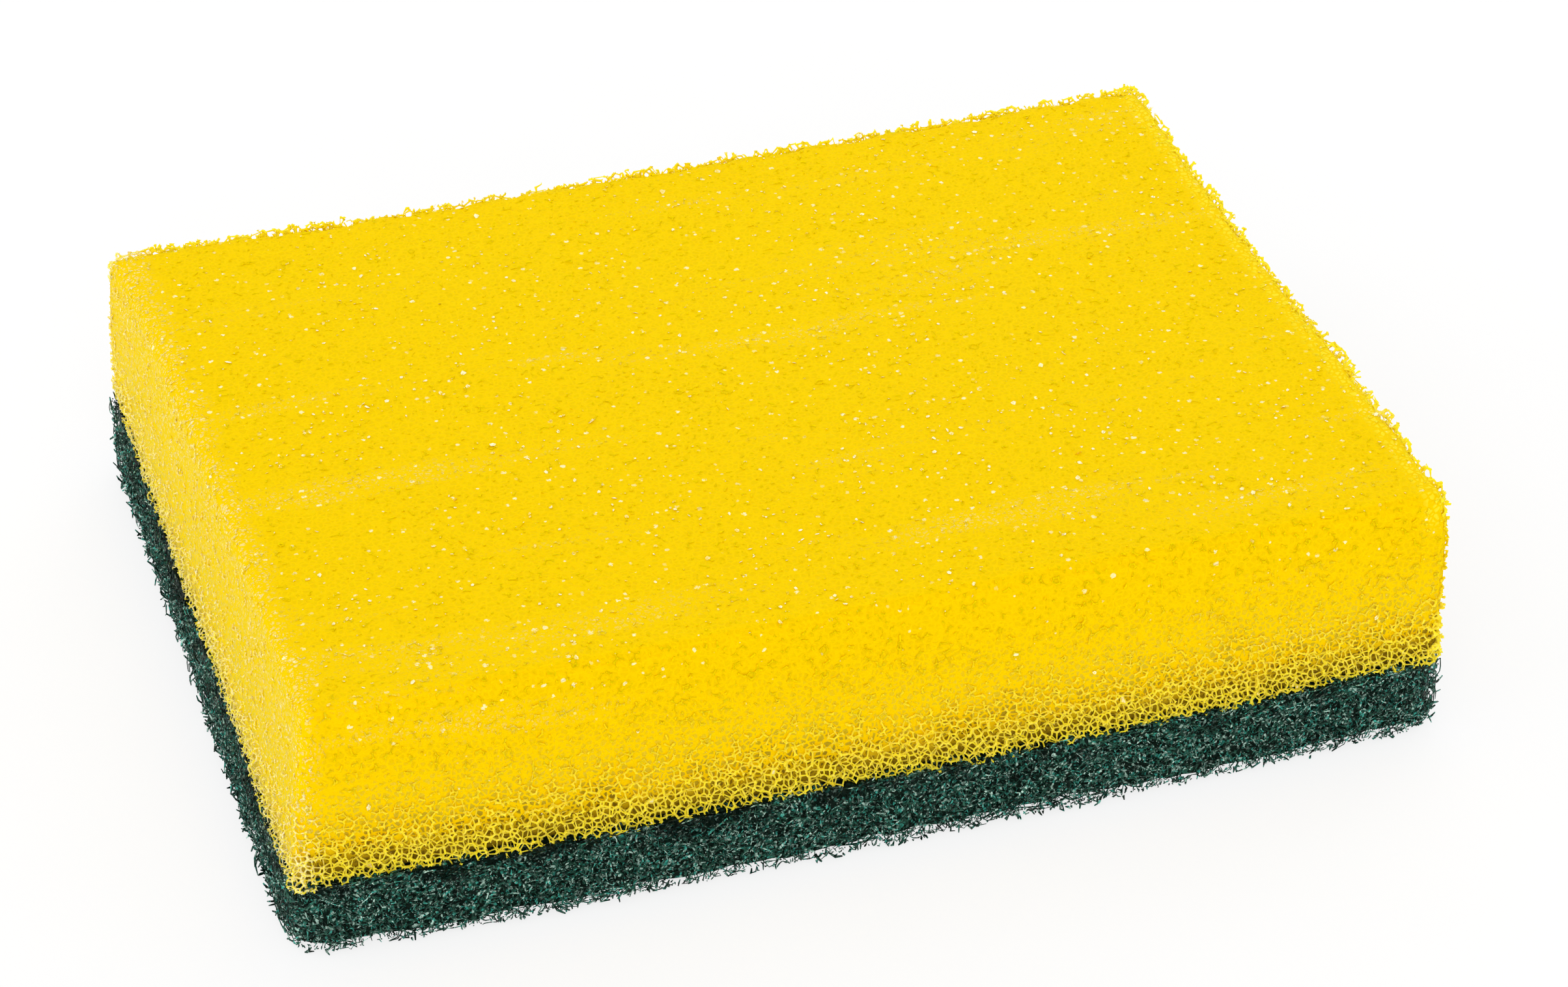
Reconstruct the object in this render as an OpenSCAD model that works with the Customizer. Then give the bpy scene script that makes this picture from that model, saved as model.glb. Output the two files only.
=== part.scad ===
// Cleaning sponge: a block of coarse open-cell foam bonded onto an abrasive scouring pad.
// Millimetres. +Z is up, +X runs along the length. The origin is the centre of the pad's underside.

/* [Foam block] */
// Length of the foam where it is bonded to the pad
foam_l = 150; // [60:1:300]
// Width of the foam where it is bonded to the pad
foam_w = 112.7; // [45:0.1:200]
// Height of the foam above the pad
foam_h = 24.3; // [8:0.1:80]
// How far each end face slopes in from the bond line to the top
end_slope = 1.35; // [0:0.05:6]
// How far each long side slopes in from the bond line to the top
side_slope = 1.6; // [0:0.05:6]
// How far the top face leans towards +X, as foam does when a blade cuts it
lean = 1.5; // [0:0.1:4]
// Radius of the foam's four upright corners
foam_corner_r = 2.4; // [2:0.1:12]
// Rounding of the rim around the top face
foam_rim_r = 1.4; // [0.2:0.1:1.8]

/* [Scouring pad] */
// Thickness of the pad
pad_h = 10.2; // [4:0.1:25]
// How far the pad stands out past the foam all round
pad_overhang = 0.5; // [0:0.1:4]
// Radius of the pad's four upright corners
pad_corner_r = 4.5; // [4:0.1:12]
// Rounding of the rim around the pad's underside
pad_rim_r = 2.6; // [0.2:0.1:3.5]

/* [Hidden] */
pad_l = foam_l + 2 * pad_overhang;
pad_w = foam_w + 2 * pad_overhang;
bond_h = 0.2;       // height of the foam's edge that stands upright at the bond line
rim_steps = 6;      // facets in the rounding of a rim
$fn = 48;

// Its children at the four corners of a block l by w, where each child is a post of radius r.
module at_corners(l, w, r) {
    for (sx = [-1, 1], sy = [-1, 1])
        translate([sx * (l / 2 - r), sy * (w / 2 - r), 0])
            children();
}

// A round post of radius r and height h, with the rim of its lower end rounded.
module soft_post(r, rim_r, h) {
    rim = [
        for (i = [0:rim_steps])
            let (turn = 90 * i / rim_steps)
            [r - rim_r * (1 - sin(turn)), rim_r * (1 - cos(turn))]
    ];
    rotate_extrude()
        polygon(concat([[0, h], [0, 0]], rim, [[r, h]]));
}

// The pad is cut square, and its lower rim is soft from the loose fibres.
module scouring_pad() {
    color([0.14, 0.29, 0.24])
        hull()
            at_corners(pad_l, pad_w, pad_corner_r)
                soft_post(pad_corner_r, pad_rim_r, pad_h);
}

// The foam seats on the pad face to face, narrows a little towards the top, and leans.
module foam_block() {
    color([1, 0.82, 0.05])
        hull() {
            translate([0, 0, pad_h])
                at_corners(foam_l, foam_w, foam_corner_r)
                    cylinder(r = foam_corner_r, h = bond_h);
            translate([lean, 0, pad_h + foam_h])
                mirror([0, 0, 1])
                    at_corners(foam_l - 2 * end_slope, foam_w - 2 * side_slope, foam_corner_r)
                        soft_post(foam_corner_r, foam_rim_r, foam_rim_r + bond_h);
        }
}

scouring_pad();
foam_block();
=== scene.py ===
"""Looks of a cleaning sponge: open-cell foam, a fibrous scouring pad, and a studio to see them in."""
import bpy
import math
import numpy as np
from bpy.props import FloatProperty, FloatVectorProperty, IntProperty, PointerProperty
from mathutils import Euler, Matrix, Vector, kdtree
from mathutils.geometry import points_in_planes


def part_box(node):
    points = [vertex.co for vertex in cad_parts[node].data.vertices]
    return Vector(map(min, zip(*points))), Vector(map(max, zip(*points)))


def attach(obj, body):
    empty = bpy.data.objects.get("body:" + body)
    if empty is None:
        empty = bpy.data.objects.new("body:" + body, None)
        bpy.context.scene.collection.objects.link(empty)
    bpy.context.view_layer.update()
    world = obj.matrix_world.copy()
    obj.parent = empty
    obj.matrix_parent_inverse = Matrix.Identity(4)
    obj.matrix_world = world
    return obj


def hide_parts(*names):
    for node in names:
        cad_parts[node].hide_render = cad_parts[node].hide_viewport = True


bl_info = {
    "name": "Cleaning Sponge",
    "version": (1, 0, 0),
    "blender": (4, 5, 0),
    "location": "3D View > Sidebar > Sponge",
    "description": "Builds the foam, the scouring pad and the studio of a cleaning sponge",
    "category": "Object",
}

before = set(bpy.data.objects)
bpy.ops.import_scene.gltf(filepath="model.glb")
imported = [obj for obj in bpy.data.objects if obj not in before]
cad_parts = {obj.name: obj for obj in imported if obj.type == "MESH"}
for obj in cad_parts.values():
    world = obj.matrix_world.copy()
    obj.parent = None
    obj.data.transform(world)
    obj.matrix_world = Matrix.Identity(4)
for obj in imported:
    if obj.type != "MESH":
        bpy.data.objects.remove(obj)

MM = 0.001
TOWARDS = {
    "top": (0, 0, 1), "front": (0, -1, 0), "left": (-1, 0, 0),
    "back": (0, 1, 0), "right": (1, 0, 0), "under": (0, 0, -1),
}
COLUMN = {side: k for k, side in enumerate(TOWARDS)}
UNDER = COLUMN["under"]
FAR_SIDES = [COLUMN["back"], COLUMN["right"]]
OPPOSITE = (("left", "right"), ("front", "back"), ("under", "top"))
DRAW_SEEDS = {"cells": 20, "films": 7, "fibres": 41, "grains": 43}
WHOLE_TURN = 6.28        # in radians, near enough for a random phase
WHITE = (1, 1, 1, 1)
WAVE = 24 * MM           # length of the broad waves of the foam's cut faces

# How far the soft block strays from the straight-cut one, in millimetres.
BOW = 1.5                # the middle of the front, forwards
CORNER = 2.0             # the far left upper corner, outwards
FLARE = 0.7              # the right end, outwards
PUSH = 0.6               # the far right upper corner, backwards
SWELL = 2.0              # the far left corner at the bond, upwards


# ---------------------------------------------------------------- settings

def a_length(name, description, size, low=0, high=4):
    """A setting for a length, given in millimetres."""
    return FloatProperty(
        name=name, description=description, default=size * MM, min=low * MM, max=high * MM,
        unit="LENGTH", precision=5)


def a_share(name, description, default):
    """A setting for a share, from 0 to 1."""
    return FloatProperty(
        name=name, description=description, default=default, min=0, max=1, subtype="FACTOR")


def a_count(name, description, default):
    """A setting for a number of things."""
    return IntProperty(name=name, description=description, default=default, min=0, max=20000)


def a_colour(name, description, *default):
    """A setting for a colour."""
    return FloatVectorProperty(
        name=name, description=description, default=default, min=0, max=1, subtype="COLOR")


def an_angle(name, description, degrees):
    """A setting for an angle, given in degrees."""
    return FloatProperty(
        name=name, description=description, default=math.radians(degrees), subtype="ANGLE")


class FoamSettings(bpy.types.PropertyGroup):
    """Sizes and colours of the foam."""
    cell: a_length("Cell", "Mean distance between the foam's cells", 1.15, 1, 5)
    strut: a_length("Strut", "From the middle of a joint of struts to its corners", 0.148, 0.05, 0.5)
    top_depth: a_length("Depth at the top", "How deep the struts go below the top face", 0.15, 0.1)
    side_depth: a_length("Depth at the sides", "How deep the struts go below the sides", 0.30, 0.1)
    seam_depth: a_length("Depth at the seam", "How much deeper the struts go next to the pad", 1.4)
    seam_reach: a_length("Seam reach", "Height over which the depth at the seam fades out", 13, 1, 30)
    rim_depth: a_length("Depth at the rim", "How much deeper the struts go at the far upper edges", 1.9)
    rim: a_length("Rim", "Rounding of the foam's cut edges", 1.2)
    ragged: a_length("Ragged", "How far the cut surface wanders from cell to cell", 0.2, 0, 1)
    lumps: a_length("Lumps", "How far the torn far upper edges wander", 0.55, 0, 2)
    wavy: a_length("Wavy", "How far the cut surface wanders over the whole block", 0.35, 0, 2)
    proud: a_length("Proud", "How far the struts stand out past the measured faces", 0.25, 0, 2)
    torn: a_share("Torn cells", "Share of the cells left out along the far upper edges", 0.38)
    film_share: a_share("Closed windows", "Share of the windows that keep a film", 0.008)
    scraps: a_count("Scraps", "Glossy scraps of film on the foam's faces", 2200)
    colour: a_colour("Foam", "Colour of the struts", 0.875, 0.588, 0.0)
    # Painted light: a brighter yellow that stands in for light on the struts next to the pad and along the
    # far upper edges.
    painted_light_colour: a_colour("Clear foam", "Colour of the struts next to the pad", 0.98, 0.755, 0.022)
    # Painted shade: a darker colour in the pits between the struts.
    pit_shade_colour: a_colour("Pits", "Colour of the pits between the struts", 0.45, 0.28, 0.0)
    # Painted shade: stands in for the shade deep in the pores next to the pad.
    pore_shade_colour: a_colour("Pores", "Colour deep in the pores next to the pad", 0.026, 0.026, 0.012)
    # Also the colour of the painted glints and of the painted sheen on the left face.
    pale_colour: a_colour("Film", "Colour of the films and of scuffed foam", 0.94, 0.86, 0.48)


class PadSettings(bpy.types.PropertyGroup):
    """Sizes and colours of the scouring pad."""
    fibre: a_length("Fibre", "Radius of one fibre", 0.105, 0.02, 0.5)
    fibre_length: a_length("Fibre length", "Length of one loose fibre", 6, 1, 30)
    side_fibres: a_count("Side fibres", "Short fibres on the pad's four edges", 9000)
    long_fibres: a_count("Long fibres", "Long curls on the pad's four edges", 1100)
    under_fibres: a_count("Underside fibres", "Fibres on the pad's underside", 550)
    grains: a_count("Grains", "Grains of abrasive in the fibres", 5000)
    # Painted shade: near black, for the shade deep in the gaps between the fibres.
    colour: a_colour("Pad", "Colour of the pad's gaps", 0.0015, 0.0085, 0.005)
    fibre_colour: a_colour("Fibre", "Colour of most fibres", 0.026, 0.102, 0.070)
    # The palest fibres: partly their own lighter teal, partly painted glints, as is the glint colour.
    pale_colour: a_colour("Pale fibre", "Colour of the palest fibres", 0.50, 0.72, 0.62)
    glint_colour: a_colour("Glint", "Clear teal of some of the pale fibres", 0.05, 0.40, 0.32)


class StudioSettings(bpy.types.PropertyGroup):
    """Camera, floor and lamps."""
    azimuth: an_angle("Azimuth", "Where the camera stands, from the front towards +X", -17.472)
    elevation: an_angle("Elevation", "Height of the camera above the horizon", 34.598)
    roll: an_angle("Roll", "Turn of the camera about its view", -0.345)
    distance: a_length("Distance", "From the camera to the middle of the view", 620.24, 100, 10000)
    aim: FloatVectorProperty(
        name="Aim", description="Middle of the view, from the middle of the sponge's underside",
        default=(4.654 * MM, -1.236 * MM, 15 * MM), subtype="TRANSLATION")
    lens: FloatProperty(
        name="Lens", description="Focal length in millimetres", default=106.911, min=10, max=300)
    floor_colour: a_colour("Floor", "Colour of the floor", 0.93, 0.93, 0.93)
    shadow: a_share("Shadow", "How strongly the floor shows the shadow of the sponge", 0.22)


# ---------------------------------------------------------------- shapes and randomness

def sides_of(node):
    """The flat faces of a block-like CAD node: {side: (outward normal, distance from the origin)}."""
    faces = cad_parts[node].data.polygons
    found = {}
    for side, towards in TOWARDS.items():
        largest = max((f for f in faces if f.normal.dot(towards) > 0.9), key=lambda f: f.area)
        normal = np.array(largest.normal, float)
        found[side] = (normal, float(normal @ np.array(largest.center)))
    return found


def depths_below(points, sides):
    """How deep each point lies below each flat side: an array (points, sides)."""
    return np.stack([far - points @ normal for normal, far in sides.values()], 1)


def rounded_depth(depths, rim):
    """How deep points lie below the skin of a block whose rims are rounded to a radius."""
    near_rims = np.sqrt((np.clip(rim - depths, 0, None) ** 2).sum(1))
    return np.where(near_rims > 0, rim - near_rims, depths.min(1))


def value_noise(points, size, seed):
    """Smooth random values from -1 to 1 at points (n, 3), in blobs of about the given size."""
    at = points / size
    cell = np.floor(at).astype(np.int64)
    part = at - cell
    part = part * part * (3 - 2 * part)
    total = np.zeros(len(points))
    for corner in np.ndindex(2, 2, 2):
        c = cell + corner
        mixed = c[:, 0] * 73856093 ^ c[:, 1] * 19349663 ^ c[:, 2] * 83492791 ^ (seed * 49979687)
        mixed = (mixed ^ (mixed >> 13)) * 1274126177 & 0x7FFFFFFF
        mixed = (mixed ^ (mixed >> 15)) * 668265263 & 0x7FFFFFFF
        weight = np.where(corner, part, 1 - part).prod(1)
        total += weight * (mixed / 0x3FFFFFFF - 1)
    return total


def vector_noise(points, size, seed):
    """Three smooth random values at each point."""
    return np.stack([value_noise(points, size, seed + k) for k in range(3)], 1)


def unit(vectors):
    """The vectors, each with length 1."""
    return vectors / np.maximum(np.linalg.norm(vectors, axis=-1, keepdims=True), 1e-12)


def box_lattice(counts):
    """A closed box of quads that face outwards: its lattice places (n, 3), from 0 to counts, and quads."""
    squares = []
    for axis in range(3):
        u, v = (axis + 1) % 3, (axis + 2) % 3
        at_u, at_v = np.meshgrid(np.arange(counts[u]), np.arange(counts[v]), indexing="ij")
        for end in (0, counts[axis]):
            square = np.zeros((at_u.size, 4, 3), int)
            square[..., axis] = end
            for k, (step_u, step_v) in enumerate(((0, 0), (1, 0), (1, 1), (0, 1))):
                square[:, k, u] = at_u.ravel() + step_u
                square[:, k, v] = at_v.ravel() + step_v
            squares.append(square if end else square[:, ::-1])
    places, index = np.unique(np.concatenate(squares).reshape(-1, 3), axis=0, return_inverse=True)
    return places, index.reshape(-1, 4)


def seam_wander(points):
    """How much lower than the bond line the foam ends next to each point, as it wanders to and fro."""
    return 0.55 * MM * value_noise(points * (1, 1, 0), 6 * MM, 8)


def soft_block(sides, steps, rims):
    """A block between six planes with rounded edges: its vertices, quads and each vertex's way out."""
    corners = np.empty((2, 2, 2, 3))
    for bits in np.ndindex(2, 2, 2):
        meeting = [sides[pair[bit]] for pair, bit in zip(OPPOSITE, bits)]
        corners[bits] = np.linalg.solve([normal for normal, _ in meeting], [far for _, far in meeting])
    size = corners[1, 1, 1] - corners[0, 0, 0]
    counts = np.ceil(size / steps).astype(int)
    places, quads = box_lattice(counts)
    place = places / counts * size
    inner = np.clip(place, rims, size - rims)
    out = unit((place - inner) / rims)
    share = (inner + out * rims) / size
    vertices = np.zeros_like(share)
    for bits in np.ndindex(2, 2, 2):
        vertices += np.where(bits, share, 1 - share).prod(1)[:, None] * corners[bits]
    return vertices, quads, unit(out / rims)


def slumped(vertices):
    """Places on the straight-cut block, moved to where the soft block really has them."""
    (left, front, low), (right, back, high) = (tuple(v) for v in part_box("foam_block"))
    x, y, z = vertices.T
    forward, rightward, leftward, backward = (
        np.clip(at / end, 0, 1.1) for at, end in ((y, front), (x, right), (x, left), (y, back)))
    height = np.clip((z - low) / (high - low), -0.4, 1)
    near_bond = np.clip(1 - np.abs(height) / np.where(height > 0, 1, 0.4), 0, 1)
    bow = BOW * forward ** 2 * np.clip(1 - (x / right) ** 4, 0, 1) * np.clip(1 - 0.7 * height, 0, 1)
    corner = CORNER * leftward ** 3 * backward ** 3 * np.clip(height, 0, 1)
    flare = FLARE * rightward ** 3
    push = PUSH * rightward ** 2 * backward ** 3 * np.clip(height, 0, 1)
    swell = SWELL * leftward ** 6 * backward ** 4 * near_bond
    return vertices + np.stack([flare - corner, 0.3 * corner + push - bow, swell], 1) * MM


def new_mesh_object(name, vertices, faces, smooth=False):
    """An object from vertices (n, 3) and arrays of faces, where each array's faces have one size."""
    vertices = slumped(vertices)
    mesh = bpy.data.meshes.new(name)
    sizes = np.concatenate([np.full(len(f), f.shape[1]) for f in faces])
    corners = np.concatenate([f.ravel() for f in faces])
    mesh.vertices.add(len(vertices))
    mesh.vertices.foreach_set("co", vertices.astype(np.float32).ravel())
    mesh.loops.add(len(corners))
    mesh.loops.foreach_set("vertex_index", corners.astype(np.int32))
    mesh.polygons.add(len(sizes))
    mesh.polygons.foreach_set("loop_start", (np.cumsum(sizes) - sizes).astype(np.int32))
    mesh.polygons.foreach_set("use_smooth", np.full(len(sizes), smooth))
    mesh.update(calc_edges=True)
    thing = bpy.data.objects.new(name, mesh)
    bpy.context.scene.collection.objects.link(thing)
    return thing


def add_flat_map(thing, across, up):
    """A UV map that lays the piece flat along two directions, for its bake."""
    mesh = thing.data
    places = np.empty(len(mesh.vertices) * 3, np.float32)
    mesh.vertices.foreach_get("co", places)
    flat = places.reshape(-1, 3) @ np.array([across, up], np.float32).T
    flat = (flat - flat.min(0)) / np.ptp(flat, axis=0)
    corner = np.empty(len(mesh.loops), np.int32)
    mesh.loops.foreach_get("vertex_index", corner)
    layer = mesh.uv_layers.new(name="OFBake", do_init=False)
    layer.uv.foreach_set("vector", (0.005 + 0.99 * flat[corner]).astype(np.float32).ravel())


def lay_flat(thing, side):
    """Gives a piece the flat map that suits its side."""
    across = (0, 1, 0) if side in ("left", "right") else (1, 0, 0)
    add_flat_map(thing, across, (0, 1, 0) if side in ("top", "under") else (0, 0, 1))


def finish_piece(thing, material, node):
    """Gives a piece its material, hangs it on the root body and hides the CAD node it stands for."""
    thing.data.materials.append(material)
    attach(thing, "root")
    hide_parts(node)


# ---------------------------------------------------------------- node helpers

def set_socket(tree, socket, value):
    """Links a socket to another node's output, or sets its value."""
    if isinstance(value, bpy.types.NodeSocket):
        tree.links.new(value, socket)
    else:
        socket.default_value = value


def add_node(tree, kind, inputs=None, **settings):
    """A node with its settings and its inputs, where an input is a value or another node's output."""
    node = tree.nodes.new(kind)
    for name, value in settings.items():
        setattr(node, name, value)
    for name, value in (inputs or {}).items():
        set_socket(tree, node.inputs[name], value)
    return node


def new_group(name, inputs, outputs):
    """An empty node group, from {socket name: socket type}: the group, its inputs and its outputs."""
    group = bpy.data.node_groups.new(name, "ShaderNodeTree")
    for way, sockets in (("INPUT", inputs), ("OUTPUT", outputs)):
        for label, kind in sockets.items():
            group.interface.new_socket(label, in_out=way, socket_type=f"NodeSocket{kind}")
    given = group.nodes.new("NodeGroupInput").outputs
    result = group.nodes.new("NodeGroupOutput").inputs
    return group, given, result


def mix_colour(tree, share, a, b):
    """The colour output of a mix of two colours. Its sockets share their names, so they go by number."""
    mix = add_node(tree, "ShaderNodeMix", {0: share, 6: a, 7: b}, data_type="RGBA")
    return mix.outputs[2]


def maths(tree, operation, *values, clamp=False):
    """The output of one Math node on its values."""
    node = add_node(tree, "ShaderNodeMath", operation=operation, use_clamp=clamp)
    for socket, value in zip(node.inputs, values):
        set_socket(tree, socket, value)
    return node.outputs[0]


def ramp(tree, value, low, high, start=0.0, end=1.0):
    """value mapped smoothly from low..high to start..end."""
    inputs = {"Value": value, "From Min": low, "From Max": high, "To Min": start, "To Max": end}
    node = add_node(tree, "ShaderNodeMapRange", inputs, interpolation_type="SMOOTHSTEP")
    return node.outputs["Result"]


def noise(tree, place, size, detail=2.0, roughness=0.5):
    """The value of a noise texture with blobs of about the given size in metres."""
    inputs = {"Vector": place, "Scale": 1 / size, "Detail": detail, "Roughness": roughness}
    return add_node(tree, "ShaderNodeTexNoise", inputs).outputs["Fac"]


def rgba(colour):
    """A colour property as four numbers."""
    return (*colour, 1.0)


def plain_to_camera(tree, look, white, share=1.0):
    """A mix that shows the camera a share of plain white, and everything else only the look."""
    seen = tree.nodes.new("ShaderNodeLightPath").outputs["Is Camera Ray"]
    part = maths(tree, "MULTIPLY", seen, share)
    return add_node(tree, "ShaderNodeMixShader", {0: part, 1: look, 2: white}).outputs[0]


def add_bump(tree, shader, height, strength, distance, invert=False):
    """Bumps on a shader, from a height that runs from 0 to 1."""
    bump = add_node(
        tree, "ShaderNodeBump", {"Height": height, "Strength": strength, "Distance": distance},
        invert=invert)
    tree.links.new(bump.outputs[0], shader.inputs["Normal"])


def new_material(name, looks):
    """A material with one Principled BSDF and its values by socket: (material, its tree, its shader)."""
    material = bpy.data.materials.new(name)
    material.use_nodes = True
    tree = material.node_tree
    tree.nodes.clear()
    shader = add_node(tree, "ShaderNodeBsdfPrincipled", looks)
    add_node(tree, "ShaderNodeOutputMaterial", {"Surface": shader.outputs[0]})
    return material, tree, shader


def toned_material(name, group, values, looks):
    """A material that takes colour and roughness from a node group: (material, tree, shader, tone)."""
    material, tree, shader = new_material(name, looks)
    tone = add_node(tree, "ShaderNodeGroup", node_tree=group)
    set_socket(tree, tone.inputs["Place"], place_in(tree))
    for label, value in values.items():
        set_socket(tree, tone.inputs[label], value)
    for label, socket in (("Color", "Base Color"), ("Roughness", "Roughness")):
        tree.links.new(tone.outputs[label], shader.inputs[socket])
    return material, tree, shader, tone


def place_in(tree):
    """The object coordinates of a material."""
    return tree.nodes.new("ShaderNodeTexCoord").outputs["Object"]


def foam_tone_group():
    """Colour of foam by height: painted shade in the pores next to the pad, painted light on the struts
    next to the pad and along the far upper edges, yellow above, pale where scuffed, with a painted sheen
    and painted glints.
    """
    if found := bpy.data.node_groups.get("Foam Tone"):
        return found
    colours = dict.fromkeys(("Foam", "Painted Light", "Pore Shade", "Pale"), "Color")
    values = dict.fromkeys(
        ("Seam", "Reach", "Darkness", "Scuffs", "Painted Sheen", "Left", "Right", "Back"), "Float")
    group, given, result = new_group(
        "Foam Tone", {"Place": "Vector", **colours, **values},
        {"Color": "Color", "Roughness": "Float", "Painted Glint": "Float"})
    place = given["Place"]
    parts = add_node(group, "ShaderNodeSeparateXYZ", {"Vector": place}).outputs
    patchy = maths(group, "SUBTRACT", noise(group, place, 6 * MM, 3.0), 0.5)
    above = maths(group, "SUBTRACT", parts["Z"], given["Seam"])
    inward = maths(group, "SUBTRACT", parts["X"], given["Left"])
    inward = maths(group, "MULTIPLY_ADD", above, -LEFT_SLOPE, inward)
    inward = maths(group, "MULTIPLY_ADD", patchy, 8 * MM, inward)
    # Painted shade: darker towards the seam, where the pores next to the pad fall into shade.
    pore_shade = maths(group, "MULTIPLY_ADD", maths(group, "MULTIPLY", patchy, 0.75), given["Reach"], above)
    pore_shade = maths(group, "DIVIDE", pore_shade, given["Reach"], clamp=True)
    pore_shade = maths(group, "POWER", maths(group, "SUBTRACT", 1.0, pore_shade), 2.2)
    pore_shade = maths(group, "MULTIPLY", maths(group, "MULTIPLY", pore_shade, 1.8, clamp=True), given["Darkness"])
    far = maths(
        group, "MAXIMUM", maths(group, "SUBTRACT", parts["X"], given["Right"]),
        maths(group, "SUBTRACT", parts["Y"], given["Back"]))
    # Painted light: the foam takes the brighter colour next to the seam and along the torn far upper
    # edges, against the shade there.
    torn = ramp(group, far, -2 * MM, -4 * MM)
    torn = maths(group, "MAXIMUM", torn, ramp(group, above, 22 * MM, 18 * MM))
    solid = maths(group, "MINIMUM", ramp(group, above, 3 * MM, 16 * MM), torn)
    clear = mix_colour(group, solid, given["Painted Light"], given["Foam"])
    tone = mix_colour(group, pore_shade, clear, given["Pore Shade"])
    stretched = add_node(group, "ShaderNodeMapping", {
        "Vector": place, "Scale": (0.13, 1.0, 1.0), "Rotation": (0, 0, 0.06),
        "Location": (0, 0, 40 * MM)})
    streak = noise(group, stretched.outputs["Vector"], 8 * MM, 4.0, 0.6)
    fleck = noise(group, place, 0.3 * MM, 2.0, 0.6)
    # Painted sheen: pale near the left face and faintly low on the faces, standing in for light glancing
    # off the struts.
    painted_sheen = maths(group, "MULTIPLY", given["Painted Sheen"], ramp(group, inward, 0.8 * MM, 4 * MM, 1.0, 0.0))
    painted_sheen = maths(group, "ADD", painted_sheen, ramp(group, above, 0.5 * MM, 20 * MM, 0.12, 0.0))
    pale = maths(group, "MULTIPLY_ADD", ramp(group, streak, 0.56, 0.76), given["Scuffs"], painted_sheen)
    pale = maths(group, "MULTIPLY", pale, ramp(group, fleck, 0.42, 0.60))
    pale = maths(group, "MULTIPLY", pale, maths(group, "SUBTRACT", 1.0, pore_shade, clamp=True), clamp=True)
    # Painted glints: pale spots on some cells, standing in for light off films in the windows.
    grit = add_node(group, "ShaderNodeTexVoronoi", {"Vector": place, "Scale": 1 / (1.25 * MM)})
    chance = add_node(group, "ShaderNodeSeparateColor", {"Color": grit.outputs["Color"]})
    likely = maths(group, "MULTIPLY_ADD", ramp(group, streak, 0.45, 0.8), 0.18, chance.outputs["Red"])
    size = ramp(group, likely, 0.27, 1.3, 0.0, 0.40)
    size = maths(group, "MULTIPLY", size, ramp(group, above, 14 * MM, 22 * MM, 0.45, 1.0))
    jagged = ramp(group, noise(group, place, 0.35 * MM, 1.0), 0.3, 0.6, 0.4, 1.1)
    size = maths(group, "MULTIPLY", size, jagged)
    painted_glint = ramp(group, maths(group, "SUBTRACT", size, grit.outputs["Distance"]), 0.0, 0.08)
    painted_glint = maths(group, "MULTIPLY", painted_glint, ramp(group, chance.outputs["Green"], 0.1, 0.9, 0.2, 0.8))
    pale = maths(group, "MAXIMUM", pale, painted_glint)
    group.links.new(mix_colour(group, pale, tone, given["Pale"]), result["Color"])
    group.links.new(ramp(group, fleck, 0.3, 0.7, 0.5, 0.7), result["Roughness"])
    group.links.new(painted_glint, result["Painted Glint"])
    return group


def pad_tone_group():
    """Colour of the pad's fibres: mostly dark teal, a few of them pale with painted glints on some, and
    painted shade just under the foam.
    """
    if found := bpy.data.node_groups.get("Pad Tone"):
        return found
    group, given, result = new_group(
        "Pad Tone",
        {"Place": "Vector", "Random": "Float", "Seam": "Float",
         **dict.fromkeys(("Gap Shade", "Fibre", "Pale", "Glint"), "Color")},
        {"Color": "Color", "Roughness": "Float"})
    blotch = noise(group, given["Place"], 3.5 * MM, 3.0, 0.6)
    grit = add_node(group, "ShaderNodeTexVoronoi", {"Vector": given["Place"], "Scale": 1 / (0.32 * MM)})
    chance = add_node(group, "ShaderNodeSeparateColor", {"Color": grit.outputs["Color"]})
    height = add_node(group, "ShaderNodeSeparateXYZ", {"Vector": given["Place"]}).outputs["Z"]
    below = maths(group, "SUBTRACT", given["Seam"], height)
    # Painted shade: darker in blotches just under the foam, where its overhang shades the pad.
    seam_shade = ramp(group, below, 0.4 * MM, 2.4 * MM, 0.75, 0.0)
    seam_shade = maths(group, "MULTIPLY", seam_shade, ramp(group, blotch, 0.44, 0.56, 1.0, 0.0))
    solid = ramp(group, chance.outputs["Red"], 0.3, 0.8)
    solid = maths(group, "MULTIPLY", solid, ramp(group, blotch, 0.3, 0.5))
    solid = maths(group, "SUBTRACT", solid, seam_shade, clamp=True)
    # The gaps between the fibres take the painted shade.
    body = mix_colour(group, solid, given["Gap Shade"], given["Fibre"])
    # Pale fibres, partly painted glints, and none of them in the painted shade under the foam.
    light = maths(group, "MULTIPLY_ADD", given["Random"], 0.45, chance.outputs["Green"])
    light = ramp(group, light, 0.82, 1.22)
    light = maths(group, "MULTIPLY", light, ramp(group, blotch, 0.2, 0.7, 0.5, 1.0))
    light = maths(group, "MULTIPLY", light, maths(group, "SUBTRACT", 1.0, seam_shade))
    glint = ramp(group, chance.outputs["Blue"], 0.45, 0.65)
    glint = mix_colour(group, glint, given["Pale"], given["Glint"])
    group.links.new(mix_colour(group, light, body, glint), result["Color"])
    group.links.new(ramp(group, chance.outputs["Blue"], 0.0, 1.0, 0.25, 0.7), result["Roughness"])
    return group


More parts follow.
